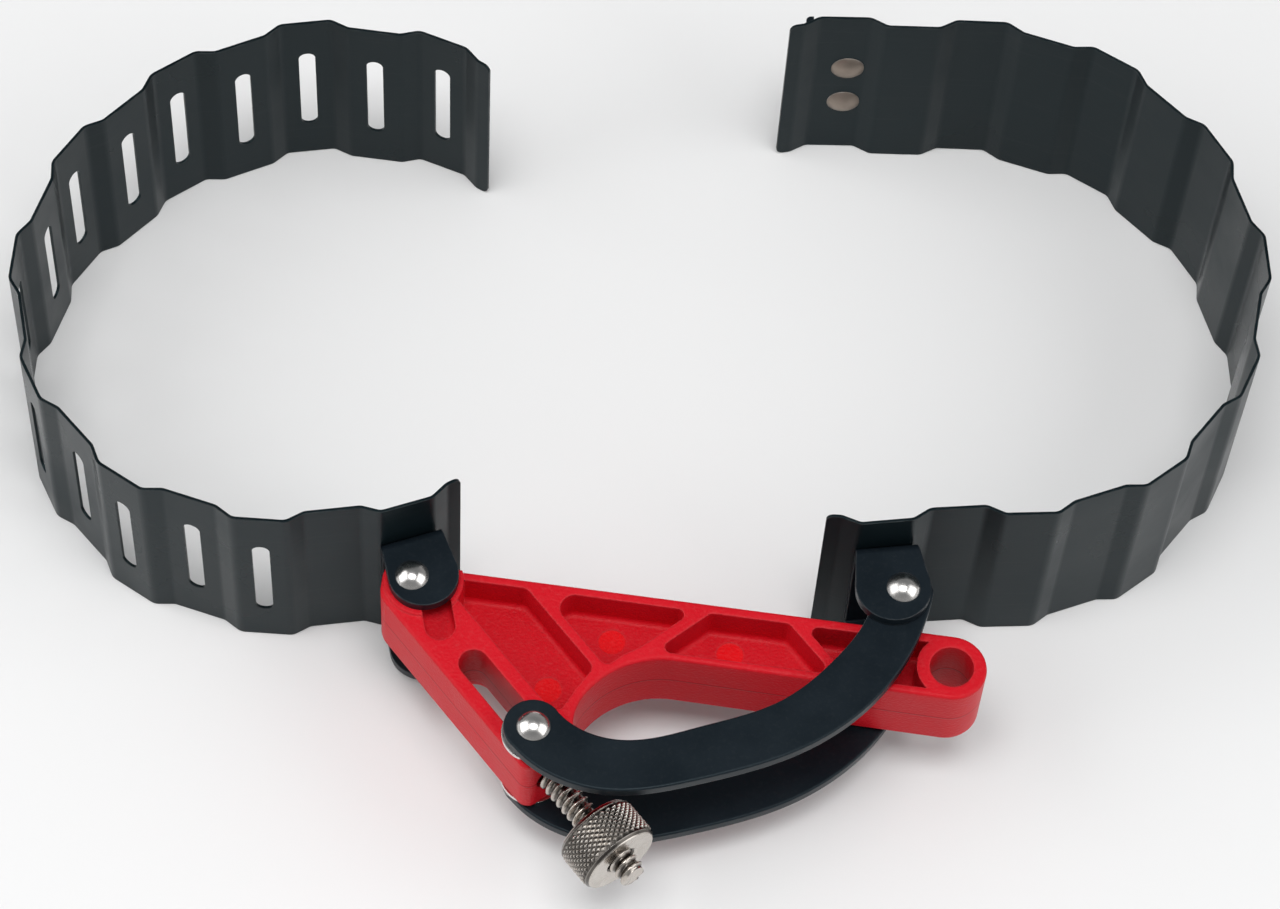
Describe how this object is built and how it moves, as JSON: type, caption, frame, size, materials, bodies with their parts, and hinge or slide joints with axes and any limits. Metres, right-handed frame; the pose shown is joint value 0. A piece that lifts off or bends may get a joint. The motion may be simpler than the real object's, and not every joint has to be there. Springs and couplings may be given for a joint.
{
  "type": "oil filter wrench",
  "caption": "Oil filter wrench: a moulded handle carries a hinged slotted band and, on a screw-set sliding lever, a hinged band with a hook that catches in the slots.",
  "frame": {"origin": "bottom centre of the whole tool's bounding box, in the plane the bands stand on", "axes": "+Z along the hinge pins and across the bands' width, +X along the handle's back towards its hanging hole, +Y from the handle towards the open ends of the bands"},
  "size_m": [0.2448, 0.1958, 0.045],
  "materials": {
    "red_plastic": "satin moulded plastic, fine grain",
    "spring_steel": "blackened spring steel, semi-gloss",
    "black_steel": "black oxide, smooth",
    "dull_steel": "plain steel, dull",
    "bright_steel": "bright, formed heads",
    "plated_steel": "nickel plate, slightly worn"
  },
  "bodies": {
    "handle": {"handle": "red_plastic"},
    "slotted_band": {"band_slotted": "spring_steel", "clip_slotted": "black_steel", "rivet_slotted": "bright_steel", "pivot_sleeve": "dull_steel"},
    "carriage": {"slide_barrel": "dull_steel", "adjuster_screw": "plated_steel", "rivet_slide": "bright_steel", "slide_washers": "bright_steel"},
    "lever": {"lever_top": "black_steel", "lever_bottom": "black_steel", "lever_spacer": "dull_steel"},
    "hooked_band": {"band_hooked": "spring_steel", "clip_hooked": "black_steel", "rivet_hooked": "bright_steel", "hook_tongue": "black_steel", "hook_rivets": "dull_steel"},
    "nut": {"knurled_nut": "plated_steel"}
  },
  "joints": [
    {"name": "slotted_band_hinge", "type": "hinge", "parent": "handle", "child": "slotted_band", "pos_m": [-0.0354, -0.04389, 0.0225], "axis": [0, 0, 1], "range_deg": [-20, 30]},
    {"name": "carriage_slide", "type": "slide", "parent": "handle", "child": "carriage", "axis": [0.7071, -0.7071, 0], "range_m": [-0.012, 0]},
    {"name": "lever_hinge", "type": "hinge", "parent": "carriage", "child": "lever", "pos_m": [-0.00807, -0.07263, 0.0225], "axis": [0, 0, 1], "range_deg": [-1.5, 18]},
    {"name": "hooked_band_hinge", "type": "hinge", "parent": "lever", "child": "hooked_band", "pos_m": [0.05745, -0.03439, 0.0225], "axis": [0, 0, 1], "range_deg": [-25, 15]},
    {"name": "nut_travel", "type": "slide", "parent": "carriage", "child": "nut", "axis": [-0.7071, 0.7071, 0], "range_m": [0, 0.012]}
  ]
}
